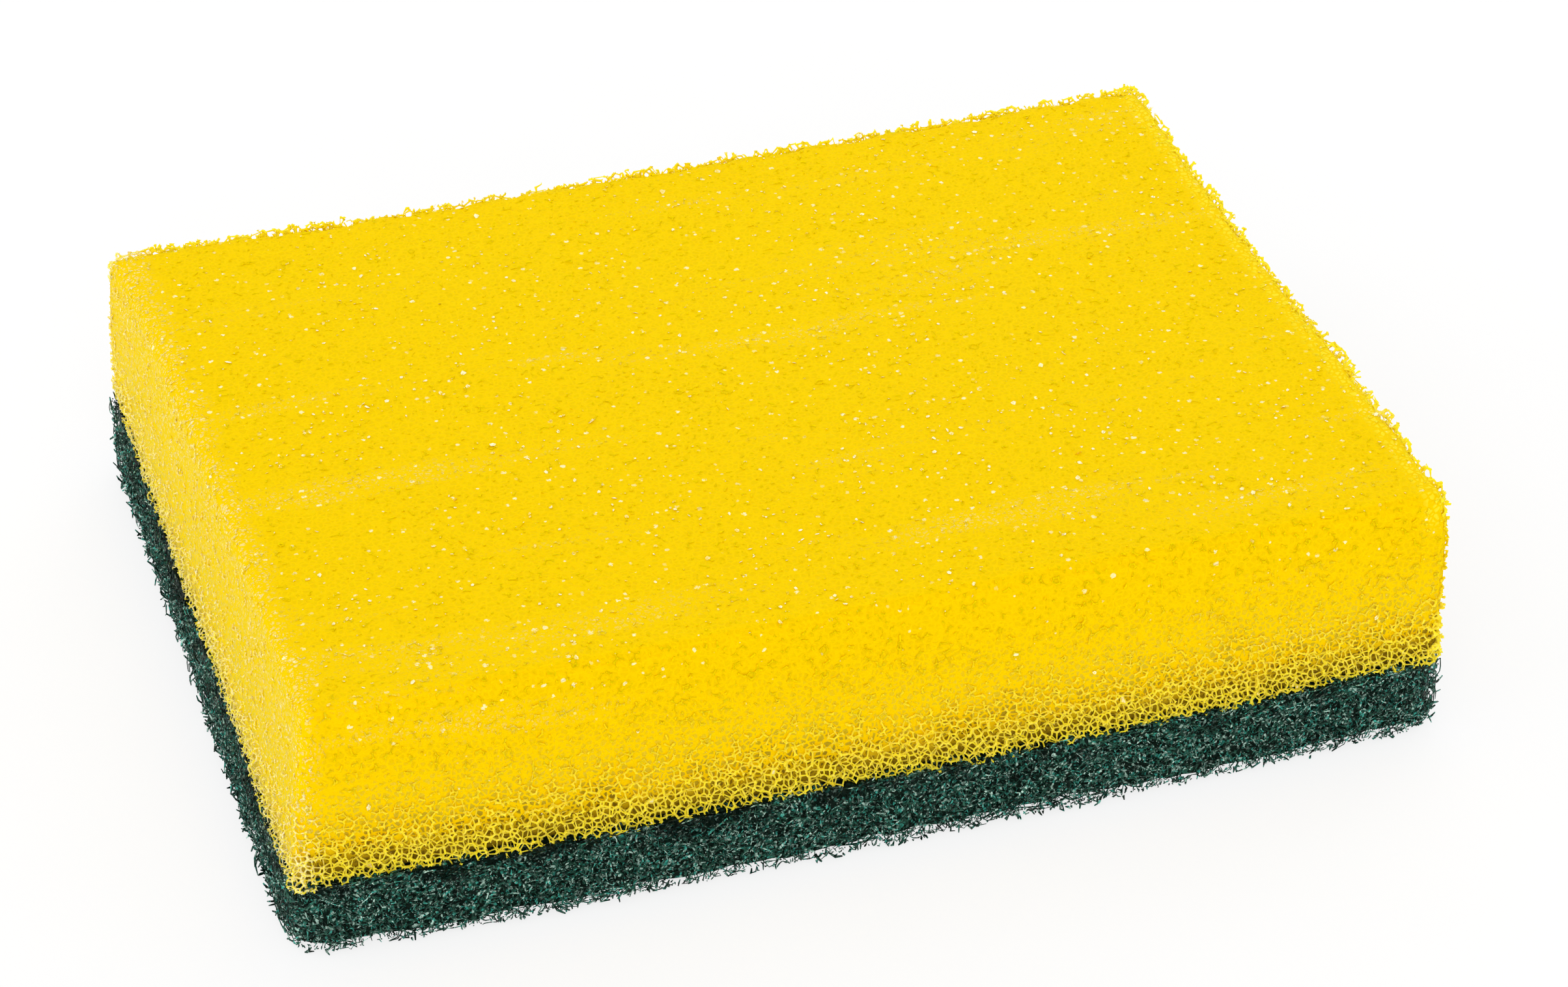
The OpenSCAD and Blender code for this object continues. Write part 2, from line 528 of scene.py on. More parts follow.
def foam_material(name, darkness, scuffs, painted_sheen):
    """Soft yellow foam, with as much painted shade in the pores next to the pad as darkness says:
    (material, tree, shader, its tone).
    """
    s = bpy.context.scene.sponge_foam
    low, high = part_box("foam_block")
    values = {
        "Foam": rgba(s.colour), "Painted Light": rgba(s.painted_light_colour), "Pore Shade": rgba(s.pore_shade_colour),
        "Pale": rgba(s.pale_colour), "Seam": low.z, "Reach": s.seam_reach, "Darkness": darkness,
        "Scuffs": scuffs, "Painted Sheen": painted_sheen, "Left": low.x, "Right": high.x, "Back": high.y}
    return toned_material(name, foam_tone_group(), values, {
        "Specular IOR Level": 0.01, "Subsurface Weight": 0.5, "Subsurface Scale": 0.8 * MM,
        "Subsurface Radius": (1.0, 0.8, 0.1)})


def pad_material(name, patch=None):
    """Dark teal that differs from fibre to fibre, or over patches: (material, tree, shader, tone)."""
    s = bpy.context.scene.sponge_pad
    values = {
        "Gap Shade": rgba(s.colour), "Fibre": rgba(s.fibre_colour), "Pale": rgba(s.pale_colour),
        "Glint": rgba(s.glint_colour), "Seam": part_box("foam_block")[0].z}
    parts = toned_material(name, pad_tone_group(), values, {"Specular IOR Level": 0.15})
    _, tree, _, tone = parts
    if patch is None:
        random = tree.nodes.new("ShaderNodeNewGeometry").outputs["Random Per Island"]
    else:
        random = noise(tree, place_in(tree), patch)
    tree.links.new(random, tone.inputs["Random"])
    return parts


# ---------------------------------------------------------------- foam

TILE_CELLS = 900         # cells in the block of seeds that is laid side by side
TILE_TURN = (0.55, 0.83, 0.31)  # the blocks lie askew, so that no face shows a repeat
TILE_ROUNDS = 24         # rounds in which the seeds of a block push each other apart
SEED_GAP = 1.12          # closer than this, seeds push each other, in cells
SEED_MARGIN = 3          # how far past the foam the seeds reach, in cells
SEED_REACH = 2.4         # how far from the layer of struts a seed still shapes it, in cells
TORN_EDGE = 2 * MM       # how near the far upper edges cells are torn out
NEIGHBOURS = 30          # nearest seeds that a cell may share a corner with
CORNER_OFF = 1e-3        # how far a corner may lie off its planes, in cells
AT_ONCE = 50000          # corners sorted at a time, to save memory
SHORTEST_STUB = 0.12 * MM
LONGEST_STUB = 0.4 * MM
TOP_FADE = 3.5 * MM      # height over which the torn upper edges set in
CORE_RIM = 1.4 * MM      # rounding of the edges of the body that lies under the open struts
TIP = 0.55 * MM          # how far the lowest struts reach down over the pad
LEFT_SLOPE = 0.117       # how far the left side leans in, for each metre up

# Four cells meet at a corner. A window lies between two of them, and a strut runs between three.
PAIRS = [(0, 1), (0, 2), (0, 3), (1, 2), (1, 3), (2, 3)]
PAIR_AT = {pair: k for k, pair in enumerate(PAIRS)}
OTHERS = [[x for x in range(4) if x != k] for k in range(4)]
RING = np.array([[PAIR_AT[i, j], PAIR_AT[j, m], PAIR_AT[i, m]] for i, j, m in OTHERS])
FACET = np.array([[PAIR_AT[tuple(sorted((k, x)))] for x in OTHERS[k]] for k in range(4)])

# Shares and widths for each side of the foam.
SEAM_SHARE = {"top": 0, "front": 1, "left": 0.4, "back": 0, "right": 0.2, "under": 0}
RIM_SHARE = {"top": 0, "front": 0, "left": 0, "back": 1, "right": 0.5, "under": 0}
RAGGED_SHARE = {"top": 0.4, "front": 0.3, "left": 1, "back": 1, "right": 1}
SCRAP_SHARES = {"top": 0.84, "front": 0.02, "left": 0.05, "back": 0.04, "right": 0.04}
STRUT_PIECES = {"top": 2, "front": 1, "left": 1, "back": 1, "right": 1}
STRUT_WIDTHS = {"top": 1.0, "front": 1.15, "left": 0.9, "back": 1.1, "right": 1.1}


def near_top(height):
    """1 at the foam's upper rim and 0 a few millimetres below it, at heights above the seam."""
    low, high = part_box("foam_block")
    return np.clip((height - (high.z - low.z)) / TOP_FADE + 1.1, 0, 1)


def side_reach(s, points, height):
    """How deep the struts go below each side of the foam, by height above the seam: (points, sides)."""
    fade = np.clip(1 - height / s.seam_reach, 0, 1) ** 1.6
    lumpy = 0.45 * value_noise(points, 3.2 * MM, 19) + 0.4 * value_noise(points, 1.3 * MM, 29)
    rise = near_top(height) * (1 + lumpy)
    return np.stack([
        s.side_depth + SEAM_SHARE[side] * s.seam_depth * fade + RIM_SHARE[side] * s.rim_depth * rise
        for side in TOWARDS], 1)


def relaxed_tile(rng):
    """Evenly spread seeds in a cube that repeats in every direction, one for each unit of volume."""
    side = TILE_CELLS ** (1 / 3)
    seeds = rng.random((TILE_CELLS, 3)) * side
    for _ in range(TILE_ROUNDS):
        away = seeds[:, None] - seeds[None]
        away -= side * np.round(away / side)
        gap = np.sqrt((away ** 2).sum(-1))
        np.fill_diagonal(gap, np.inf)
        push = np.clip(SEED_GAP - gap, 0, None) / gap
        seeds = (seeds + 0.25 * (away * push[..., None]).sum(1)) % side
    return seeds, side


def foam_seeds(low, high, cell, rng):
    """Seeds of foam cells in a box, in metres."""
    tile, side = relaxed_tile(rng)
    turn = np.array(Euler(TILE_TURN).to_matrix())
    low, high = low / cell, high / cell
    corners = np.array([np.where(bits, high, low) for bits in np.ndindex(2, 2, 2)]) @ turn
    first = np.floor(corners.min(0) / side).astype(int)
    last = np.ceil(corners.max(0) / side).astype(int)
    steps = np.stack(np.meshgrid(*[np.arange(a, b) for a, b in zip(first, last)], indexing="ij"), -1)
    seeds = (tile[None] + steps.reshape(-1, 1, 3) * side).reshape(-1, 3) @ turn.T
    seeds = seeds[((seeds > low) & (seeds < high)).all(1)]
    seeds = seeds + 0.25 * vector_noise(seeds, 4.7, 11) + rng.normal(0, 0.03, seeds.shape)
    return seeds * cell


def cell_corners(seeds, wanted, cell):
    """The corners of the wanted seeds' Voronoi cells: their places, and the four seeds round each."""
    tree = kdtree.KDTree(len(seeds))
    for k, seed in enumerate(seeds):
        tree.insert(seed, k)
    tree.balance()
    near = np.array([[n[1] for n in tree.find_n(seeds[k], NEIGHBOURS + 1)[1:]] for k in wanted])
    away = (seeds[near] - seeds[wanted][:, None]) / cell
    half = np.linalg.norm(away, axis=2) / 2
    normals = away / (2 * half)[..., None]
    planes = np.concatenate([normals, -half[..., None]], 2)
    places, owner = [], []
    for row, cell_planes in enumerate(planes):
        found, _ = points_in_planes([Vector(p) for p in cell_planes])
        places.extend(found)
        owner.extend([row] * len(found))
    places, owner = np.array(places), np.array(owner)
    quads = np.empty((len(places), 4), np.int64)
    sound = np.empty(len(places), bool)
    for part in np.array_split(np.arange(len(places)), max(1, len(places) // AT_ONCE)):
        rows = owner[part]
        off = np.abs(np.einsum("nkj,nj->nk", normals[rows], places[part]) - half[rows])
        nearest = np.argpartition(off, 3, axis=1)[:, :4]
        gaps = np.sort(np.take_along_axis(off, nearest, 1), 1)
        sound[part] = (gaps[:, 2] < CORNER_OFF) & (gaps[:, 3] > CORNER_OFF)
        quads[part, 0] = wanted[rows]
        quads[part, 1:] = np.take_along_axis(near[rows], np.argpartition(off, 3, axis=1)[:, :3], 1)
    places = seeds[wanted][owner] + places * cell
    return places[sound], np.sort(quads[sound], 1)


def mixed_key(ids):
    """Rows of sorted seed numbers as one number each, all but certain to differ where the rows do."""
    keys = np.zeros(ids.shape[:-1], np.uint64)
    for k in range(ids.shape[-1]):
        keys = keys * np.uint64(0x9E3779B97F4A7C15) + ids[..., k].astype(np.uint64)
        keys = keys ^ (keys >> np.uint64(29))
    return keys


class Network:
    """The foam's struts: where they meet, which seeds lie round each meeting, and what a strut joins."""

    def __init__(self, s):
        rng = np.random.default_rng(DRAW_SEEDS["cells"])
        self.sides = sides_of("foam_block")
        self.settings = s
        low, high = (np.array(v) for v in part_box("foam_block"))
        margin = SEED_MARGIN * s.cell
        seeds = foam_seeds(low - margin, high + margin, s.cell, rng)
        depths = depths_below(seeds, self.sides)
        far = (depths[:, FAR_SIDES].min(1) < TORN_EDGE) & (depths[:, COLUMN["top"]] < TORN_EDGE)
        seeds = seeds[~(far & (rng.random(len(seeds)) < s.torn))]
        # Only the seeds near the layer of struts are kept, and only the cells in it are worked out.
        skin, shell = self.measure(seeds)
        reach = SEED_REACH * s.cell
        seeds = seeds[(skin > -reach) & (shell < reach)]
        skin, shell = self.measure(seeds)
        wanted = np.flatnonzero((skin > -0.9 * s.cell) & (shell < 0.8 * s.cell))
        places, quads = cell_corners(seeds, wanted, s.cell)
        _, first = np.unique(mixed_key(quads), return_index=True)
        self.places, self.quads, self.seeds = places[first], quads[first], seeds
        self.skin, shell = self.measure(self.places)
        self.kept = (self.skin > 0) & (shell < 0)
        # Whether each strut's ring of windows turns one way or the other, seen from its corner.
        corner = seeds[self.quads]
        across = corner[:, 1:] - corner[:, :1]
        turn = np.einsum("ni,ni->n", np.cross(across[:, 0], across[:, 1]), across[:, 2])
        self.turned = turn[:, None] * np.array([-1, 1, -1, 1]) > 0
        self.find_struts()
        self.drop_loose()
        self.middle = self.places[self.ends].mean(1)
        self.side_of = np.array(list(TOWARDS))[self.face_depths(self.middle).argmin(1)]

    def face_depths(self, points):
        """How deep points lie below each side of the foam but the underside."""
        return depths_below(points, self.sides)[:, :UNDER]

    def measure(self, points):
        """Depths below the ragged skin and below the inner limit of the struts, negative above them."""
        s = self.settings
        depths = depths_below(points, self.sides)
        broad = s.wavy * value_noise(points, WAVE, 9) + s.proud
        ragged = s.ragged * np.array(list(RAGGED_SHARE.values()))[depths[:, :UNDER].argmin(1)]
        wander = broad + ragged * value_noise(points, 1.7 * MM, 5)
        far = np.clip(1.5 - depths[:, FAR_SIDES] / (1.5 * MM), 0, 1).max(1)
        wander += s.lumps * far * near_top(depths[:, UNDER]) * value_noise(points, 1.6 * MM, 17)
        reach = side_reach(s, points, depths[:, UNDER])
        reach[:, COLUMN["top"]] = s.top_depth
        shell = rounded_depth((depths - reach)[:, :UNDER], CORE_RIM) + broad
        depths[:, UNDER] += TIP * (1 + 0.8 * value_noise(points, 2.5 * MM, 6)) + seam_wander(points)
        return rounded_depth(depths, s.rim) + wander, shell

    def find_struts(self):
        """Joins corners that share three seeds. gaps says which of its four seeds an end leaves out."""
        keys = mixed_key(np.stack([self.quads[:, others] for others in OTHERS], 1)).ravel()
        order = np.argsort(keys, kind="stable")
        same = keys[order][1:] == keys[order][:-1]
        alone = ~np.concatenate([[False], same[:-1]]) & ~np.concatenate([same[1:], [False]])
        found = np.flatnonzero(same & alone)
        one, two = order[found], order[found + 1]
        swap = self.kept[two // 4] & ~self.kept[one // 4]
        one, two = np.where(swap, two, one), np.where(swap, one, two)
        facing = self.turned.ravel()[one] != self.turned.ravel()[two]
        used = self.kept[one // 4] & facing
        self.ends = np.stack([one // 4, two // 4], 1)[used]
        self.gaps = np.stack([one % 4, two % 4], 1)[used]
        a, b = self.ends.T
        self.full = self.kept[b]
        cut = self.skin[a] / np.maximum(self.skin[a] - self.skin[b], 1e-9)
        self.cut = np.where(self.skin[b] < 0, np.clip(cut, 0, 1), 1.0)
        length = np.linalg.norm(self.places[a] - self.places[b], axis=1)
        self.keep_struts(self.full | (self.cut * length > SHORTEST_STUB))

    def keep_struts(self, which):
        """Leaves only some of the struts."""
        self.ends, self.gaps, self.full, self.cut = (
            v[which] for v in (self.ends, self.gaps, self.full, self.cut))

    def drop_loose(self):
        """Leaves out the clumps of struts that no strut ties to the inside."""
        label = np.arange(len(self.places))
        a, b = self.ends[self.full].T
        while True:
            least = label.copy()
            np.minimum.at(least, a, label[b])
            np.minimum.at(least, b, label[a])
            least = least[least]
            if (least == label).all():
                break
            label = least
        tied = np.zeros(len(label), bool)
        inward = ~self.full & (self.skin[self.ends[:, 1]] >= 0)
        tied[label[self.ends[inward, 0]]] = True
        self.keep_struts(tied[label[self.ends[:, 0]]])

    def strut_mesh(self, chosen, radius):
        """Closed tubes for the chosen struts: vertices and arrays of triangles and quads.

        Each corner is a little octahedron with a point in each of its six windows. Four of its faces are
        the ends of struts, and four look into the cells round it.
        """
        ends, gaps, full, cut = self.ends[chosen], self.gaps[chosen], self.full[chosen], self.cut[chosen]
        used, index = np.unique(np.concatenate([ends[:, 0], ends[full, 1]]), return_inverse=True)
        start, finish = index[:len(ends)], index[len(ends):]
        middle = self.places[used]
        to_seed = unit(self.seeds[self.quads[used]] - middle[:, None])
        edge = depths_below(middle, self.sides)[:, FAR_SIDES].min(1)
        stout = 1 + 0.5 * np.clip(1.5 - edge / (2 * MM), 0, 1)
        size = radius * stout * (1 + 0.18 * value_noise(middle, 1.3 * MM, 31))
        arms = np.stack([unit(to_seed[:, i] + to_seed[:, j]) for i, j in PAIRS], 1) * size[:, None, None]
        corners = (middle[:, None] + arms).reshape(-1, 3)
        number = np.arange(len(used))[:, None, None] * 6
        turned = self.turned[used][..., None]
        rings = np.where(turned, RING[:, ::-1], RING) + number
        facets = np.where(turned, FACET, FACET[:, ::-1]) + number
        closed = np.ones((len(used), 4), bool)
        closed[start, gaps[:, 0]] = False
        closed[finish, gaps[full, 1]] = False
        near = rings[start, gaps[:, 0]]
        far = rings[finish, gaps[full, 1]][:, ::-1]
        starts, targets = self.places[ends[~full, 0]], self.places[ends[~full, 1]]
        outward = self.skin[ends[~full, 1]] < 0
        length = np.linalg.norm(targets - starts, axis=1)
        reach = np.minimum(cut[~full] * length * 1.1, LONGEST_STUB)
        tips = starts + (targets - starts) * (np.where(outward, reach / length, cut[~full]))[:, None]
        tip = len(corners) + np.arange(len(tips))
        stub = near[~full]
        quads, triangles = [], [facets.reshape(-1, 3), rings[closed]]
        for k in range(3):
            n = (k + 1) % 3
            quads.append(np.stack([near[full, k], near[full, n], far[:, n], far[:, k]], 1))
            triangles.append(np.stack([stub[:, k], stub[:, n], tip], 1))
        return np.concatenate([corners, tips]), [np.concatenate(triangles), np.concatenate(quads)]

    def films(self, side, share, rng):
        """Closed windows of a side as thin lenses: vertices and triangles."""
        pairs = np.stack([self.quads[:, pair] for pair in PAIRS], 1).reshape(-1, 2)
        owner = np.repeat(np.arange(len(self.quads)), 6)
        _, inverse, count = np.unique(mixed_key(pairs), return_inverse=True, return_counts=True)
        whole = np.bincount(inverse, self.kept[owner]) == count
        order = np.argsort(inverse, kind="stable")
        first = np.cumsum(count) - count
        centre = np.stack([np.bincount(inverse, self.places[owner, k]) for k in range(3)], 1)
        centre /= count[:, None]
        normal = unit(self.seeds[pairs[order[first], 1]] - self.seeds[pairs[order[first], 0]])
        outward = normal @ self.sides[side][0]
        depths = self.face_depths(centre)
        fit = whole & (count > 3) & (count < 8) & (np.abs(outward) > 0.45)
        fit &= (depths.argmin(1) == COLUMN[side]) & (depths.min(1) < 0.75 * self.settings.cell)
        chosen = np.flatnonzero(fit & (rng.random(len(fit)) < share))
        vertices, triangles = [], []
        for w in chosen:
            rim = self.places[owner[order[first[w]:first[w] + count[w]]]]
            away = rim - centre[w]
            right = unit(away[0])
            turn = np.arctan2(away @ np.cross(normal[w], right), away @ right)
            rim = rim[np.argsort(turn)]
            at, n = sum(map(len, vertices)), len(rim)
            bulge = normal[w] * rng.uniform(0.02, 0.07) * MM
            vertices.append(np.concatenate([rim, [centre[w] + bulge, centre[w] - bulge]]))
            for k in range(n):
                triangles.append((at + k, at + (k + 1) % n, at + n))
                triangles.append((at + (k + 1) % n, at + k, at + n + 1))
        return np.concatenate(vertices), [np.array(triangles)]

    def scraps(self, side, count, rng):
        """Scraps of film that lie on a side: vertices and triangles."""
        on_side = self.face_depths(self.places).argmin(1) == COLUMN[side]
        fit = self.kept & (self.skin < 0.25 * MM) & on_side
        chance = np.clip(0.35 + value_noise(self.places, 9 * MM, 15), 0.05, 1) * fit
        centre = self.places[rng.choice(len(chance), count, replace=False, p=chance / chance.sum())]
        normal = unit(self.sides[side][0] + rng.normal(0, 0.35, centre.shape))
        right = unit(np.cross(normal, [0.31, 0.52, 0.79]))
        up = np.cross(normal, right)
        reach = rng.gamma(5.0, 0.034, (count, 1)) * rng.uniform(0.7, 1.3, (count, 5)) * MM
        turn = np.arange(5) * 2 * math.pi / 5
        rim = np.cos(turn)[:, None] * right[:, None] + np.sin(turn)[:, None] * up[:, None]
        centre = centre + normal * 0.06 * MM
        vertices = np.concatenate([
            centre[:, None] + rim * reach[..., None],
            centre[:, None] + np.array([1, -1])[:, None] * normal[:, None] * 0.06 * MM], 1)
        fan = [(k, (k + 1) % 5, 5) for k in range(5)] + [((k + 1) % 5, k, 6) for k in range(5)]
        triangles = (np.arange(count)[:, None, None] * 7 + np.array(fan)).reshape(-1, 3)
        return vertices.reshape(-1, 3), [triangles]


made = {}


def foam_network():
    """The foam's network, made once."""
    if "network" not in made:
        made["network"] = Network(bpy.context.scene.sponge_foam)
    return made["network"]


class SPONGE_OT_foam_struts(bpy.types.Operator):
    """Builds the open network of struts on every face of the foam"""
    bl_idname = "sponge.foam_struts"
    bl_label = "Foam struts"

    def execute(self, context):
        s = context.scene.sponge_foam
        net = foam_network()
        material, *_ = foam_material("foam struts", darkness=0.0, scuffs=0.4, painted_sheen=0.7)
        for side, count in STRUT_PIECES.items():
            rows = np.flatnonzero(net.side_of == side)
            place = net.middle[rows, 1 if side in ("left", "right") else 0]
            edges = np.quantile(place, np.linspace(0, 1, count + 1))
            edges[-1] += 1
            for k in range(count):
                part = rows[(place >= edges[k]) & (place < edges[k + 1])]
                name = f"foam_struts_{side}" + (f"_{k + 1}" if count > 1 else "")
                thing = new_mesh_object(name, *net.strut_mesh(part, s.strut * STRUT_WIDTHS[side]))
                lay_flat(thing, side)
                finish_piece(thing, material, "foam_block")
        return {"FINISHED"}


class SPONGE_OT_foam_films(bpy.types.Operator):
    """Closes a few of the foam's windows with thin glossy films"""
    bl_idname = "sponge.foam_films"
    bl_label = "Foam films"

    def execute(self, context):
        s = context.scene.sponge_foam
        material, tree, shader = new_material("foam film", {"Coat Weight": 0.3})
        varied = tree.nodes.new("ShaderNodeNewGeometry").outputs["Random Per Island"]
        grain = noise(tree, place_in(tree), 0.3 * MM)
        # The films are paler than the foam: partly the films' own paler tone, partly painted glints.
        patch = maths(tree, "MULTIPLY_ADD", ramp(tree, grain, 0.3, 0.7), 0.4, varied)
        tone = mix_colour(tree, ramp(tree, patch, 0.2, 0.9), rgba(s.colour), rgba(s.pale_colour))
        tree.links.new(tone, shader.inputs["Base Color"])
        tree.links.new(ramp(tree, grain, 0.3, 0.7, 0.12, 0.3), shader.inputs["Roughness"])
        for side, scraps in SCRAP_SHARES.items():
            rng = np.random.default_rng(DRAW_SEEDS["films"])
            vertices, (triangles,) = foam_network().films(side, s.film_share, rng)
            more, (fans,) = foam_network().scraps(side, int(scraps * s.scraps), rng)
            faces = np.concatenate([triangles, fans + len(vertices)])
            thing = new_mesh_object(f"foam_films_{side}", np.concatenate([vertices, more]), [faces])
            lay_flat(thing, side)
            finish_piece(thing, material, "foam_block")
        return {"FINISHED"}


def pitted_foam_material(s, seam):
    """Foam with pits in it, with painted shade in the pits, for the body that lies under the open struts.
    """
    # The body under the open struts takes the painted shade in full, and the struts take none.
    material, tree, shader, tone = foam_material("foam core", darkness=1.0, scuffs=0.3, painted_sheen=0.45)
    shader.inputs["Subsurface Weight"].default_value = 0.6
    shader.inputs["Subsurface Scale"].default_value = 1.0 * MM
    place = place_in(tree)
    parts = add_node(tree, "ShaderNodeSeparateXYZ", {"Vector": place}).outputs
    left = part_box("foam_block")[0].x
    # Painted shade on the body, lighter within a few millimetres of the left face.
    darkness = ramp(tree, parts["X"], left + 1 * MM, left + 3 * MM, 0.45, 1.0)
    tree.links.new(darkness, tone.inputs["Darkness"])
    wobble = add_node(
        tree, "ShaderNodeTexNoise", {"Vector": place, "Scale": 1 / (2 * MM), "Detail": 1.0})
    small = add_node(
        tree, "ShaderNodeVectorMath", {0: wobble.outputs["Color"], "Scale": 0.5 * MM},
        operation="SCALE")
    warped = add_node(
        tree, "ShaderNodeVectorMath", {0: place, 1: small.outputs[0]}, operation="ADD")
    cells = add_node(
        tree, "ShaderNodeTexVoronoi", {"Vector": warped.outputs[0], "Scale": 1.45 / s.cell},
        feature="DISTANCE_TO_EDGE")
    hole = ramp(tree, cells.outputs["Distance"], 0.10, 0.22)
    # Painted shade: next to the seam the whole body takes the toned colour with its painted shade.
    low_holes = ramp(tree, parts["Z"], seam + 0.5 * MM, seam + 5.5 * MM, 0.85, 0.0)
    hole = maths(tree, "MAXIMUM", hole, low_holes)
    # Painted struts as light lines; the holes between them take the toned colour with its painted shade.
    shade = mix_colour(tree, hole, rgba(s.colour), tone.outputs["Color"])
    # Painted shade: the painted holes darken further, most of all low on the faces.
    pit_shade = ramp(tree, parts["Z"], seam + 5 * MM, seam + 21 * MM, 0.42, 0.12)
    pit_shade = maths(tree, "MULTIPLY", hole, pit_shade)
    deeper = mix_colour(tree, pit_shade, shade, rgba(s.pit_shade_colour))
    # Painted glints over the pits and their painted shade.
    glinted = mix_colour(tree, tone.outputs["Painted Glint"], deeper, rgba(s.pale_colour))
    tree.links.new(glinted, shader.inputs["Base Color"])
    grain = maths(tree, "MULTIPLY_ADD", noise(tree, place, 0.4 * MM), -2.0, hole)
    add_bump(tree, shader, grain, strength=0.2, distance=0.25 * MM, invert=True)
    return material


class SPONGE_OT_foam_core(bpy.types.Operator):
    """Builds the body of the foam that is seen through the open struts"""
    bl_idname = "sponge.foam_core"
    bl_label = "Foam core"

    def execute(self, context):
        s = context.scene.sponge_foam
        sides = sides_of("foam_block")
        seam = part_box("foam_block")[0].z
        inset = {side: s.side_depth - 0.16 * MM - s.proud for side in TOWARDS}
        inset["back"] = s.side_depth - 0.02 * MM - s.proud
        inset["right"] = inset["back"]
        inset["top"] = s.top_depth - 0.09 * MM - s.proud
        inset["under"] = -0.3 * MM
        inner = {side: (normal, far - inset[side]) for side, (normal, far) in sides.items()}
        vertices, quads, out = soft_block(inner, 1.2 * MM, np.full(3, CORE_RIM))
        reach = side_reach(s, vertices, vertices[:, 2] - seam) - s.side_depth
        for side, towards in TOWARDS.items():
            normal, far = inner[side]
            share = np.clip(1 - (far - vertices @ normal) / (6 * MM), 0, 1)
            vertices -= (share * reach[:, COLUMN[side]])[:, None] * towards
        sway = s.wavy * value_noise(vertices, WAVE, 9) * (vertices[:, 2] > seam)
        vertices += sway[:, None] * out
        thing = new_mesh_object("foam_core", vertices, [quads], smooth=True)
        material = pitted_foam_material(s, seam)
        finish_piece(thing, material, "foam_block")
        return {"FINISHED"}


# ---------------------------------------------------------------- scouring pad

PAD_CORNER = 4.5 * MM
PAD_RIM = 2.6 * MM
CORNER_PLACES = 9        # places on the arc of each corner of the pad's outline
SIDE_SHARES = {"front": 0.40, "right": 0.14, "back": 0.2, "left": 0.26}  # of the fibres and grains
CURLS = {"under": 220, "tuft": 900, "low": 1100, "long": 350}  # how sharply, in radians a metre


class Border:
    """The outline of the pad, as places u along it, from 0 at the front's left end to the right."""

    def __init__(self):
        low, high = (np.array(v)[:2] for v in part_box("scouring_pad"))
        places, normals = [(low[0] + PAD_CORNER, low[1])], [(0, -1)]
        centres = [(high[0], low[1]), (high[0], high[1]), (low[0], high[1]), (low[0], low[1])]
        for quarter, corner in enumerate(centres):
            centre = np.clip(corner, low + PAD_CORNER, high - PAD_CORNER)
            for angle in np.radians(np.linspace(90 * quarter - 90, 90 * quarter, CORNER_PLACES)):
                normals.append((math.cos(angle), math.sin(angle)))
                places.append(centre + PAD_CORNER * np.array(normals[-1]))
        self.places, self.normals = np.array(places), np.array(normals)
        steps = np.linalg.norm(np.diff(self.places, axis=0), axis=1)
        self.along = np.concatenate([[0], steps.cumsum()])
        # The sides begin in the middles of the corners, from the front's left one.
        middles = self.along[1:].reshape(4, CORNER_PLACES)[:, CORNER_PLACES // 2]
        self.turns = np.concatenate([[middles[-1] - self.along[-1]], middles])

    def side_places(self, side, count, rng):
        """Random u on a side."""
        k = list(SIDE_SHARES).index(side)
        return rng.uniform(self.turns[k], self.turns[k + 1], count)

    def points(self, u, z, out):
        """The places at u, at height z, a distance out from the pad's face."""
        u = u % self.along[-1]
        place = np.stack([np.interp(u, self.along, self.places[:, k]) for k in range(2)], -1)
        normal = unit(np.stack([np.interp(u, self.along, self.normals[:, k]) for k in range(2)], -1))
        low = np.clip(PAD_RIM - z, 0, PAD_RIM)
        tuck = 0.2 * (PAD_RIM - np.sqrt(PAD_RIM ** 2 - low ** 2))
        return np.concatenate([place + normal * (out - tuck)[..., None], z[..., None]], -1)


def curling_lines(rng, starts, lengths, steps, curl, flat=None):
    """Lines that curl over a flat band from starts (n, 2): (n, steps + 1, 2).

    curl is how sharply they turn, in radians a metre, and flat is the share that runs along u.
    """
    count = len(starts)
    s = np.linspace(0, 1, steps + 1)[None] * lengths[:, None]
    heading = rng.uniform(-math.pi, math.pi, count)
    if flat is not None:
        heading = np.where(rng.random(count) < flat, heading * 0.25, heading)
    wave = rng.uniform(2, 5, count)[:, None] * MM
    angle = heading[:, None] + rng.normal(0, curl, count)[:, None] * s
    swing = rng.uniform(0.2, 1.2, count)[:, None]
    angle += swing * np.sin(2 * math.pi * s / wave + rng.uniform(0, WHOLE_TURN, count)[:, None])
    step = (lengths / steps)[:, None, None]
    moves = np.stack([np.cos(angle), np.sin(angle)], -1)[:, :-1] * step
    return starts[:, None] + np.concatenate([np.zeros((count, 1, 2)), moves.cumsum(1)], 1)


def limited(values, low, high):
    """Values that turn back at low, and of which only a quarter is left over high."""
    values = low + np.abs(values - low)
    return np.where(values > high, high + 0.25 * (values - high), values)


def tube_mesh(paths, radii):
    """Closed three-sided tubes along paths (n, points, 3): vertices, and arrays of triangles and quads."""
    count, length, _ = paths.shape
    along = unit(np.gradient(paths, axis=1))
    lean = unit(np.cross(along[:, :1], [0.3, 0.5, 0.81]))
    across = unit(lean - (lean * along).sum(2, keepdims=True) * along)
    up = np.cross(along, across)
    taper = np.ones(length)
    taper[[0, -1]] = 0.55
    radius = radii[:, None, None] * taper[None, :, None]
    rings = [
        paths + radius * (math.cos(turn) * across + math.sin(turn) * up)
        for turn in (0, 2 * math.pi / 3, 4 * math.pi / 3)]
    vertices = np.stack(rings, 2).reshape(-1, 3)
    number = np.arange(count * length * 3).reshape(count, length, 3)
    near, far = number[:, :-1], number[:, 1:]
    quads = [
        np.stack([near[..., k], near[..., n], far[..., n], far[..., k]], -1).reshape(-1, 4)
        for k, n in ((0, 1), (1, 2), (2, 0))]
    return vertices, [np.concatenate([number[:, 0, ::-1], number[:, -1]]), np.concatenate(quads)]


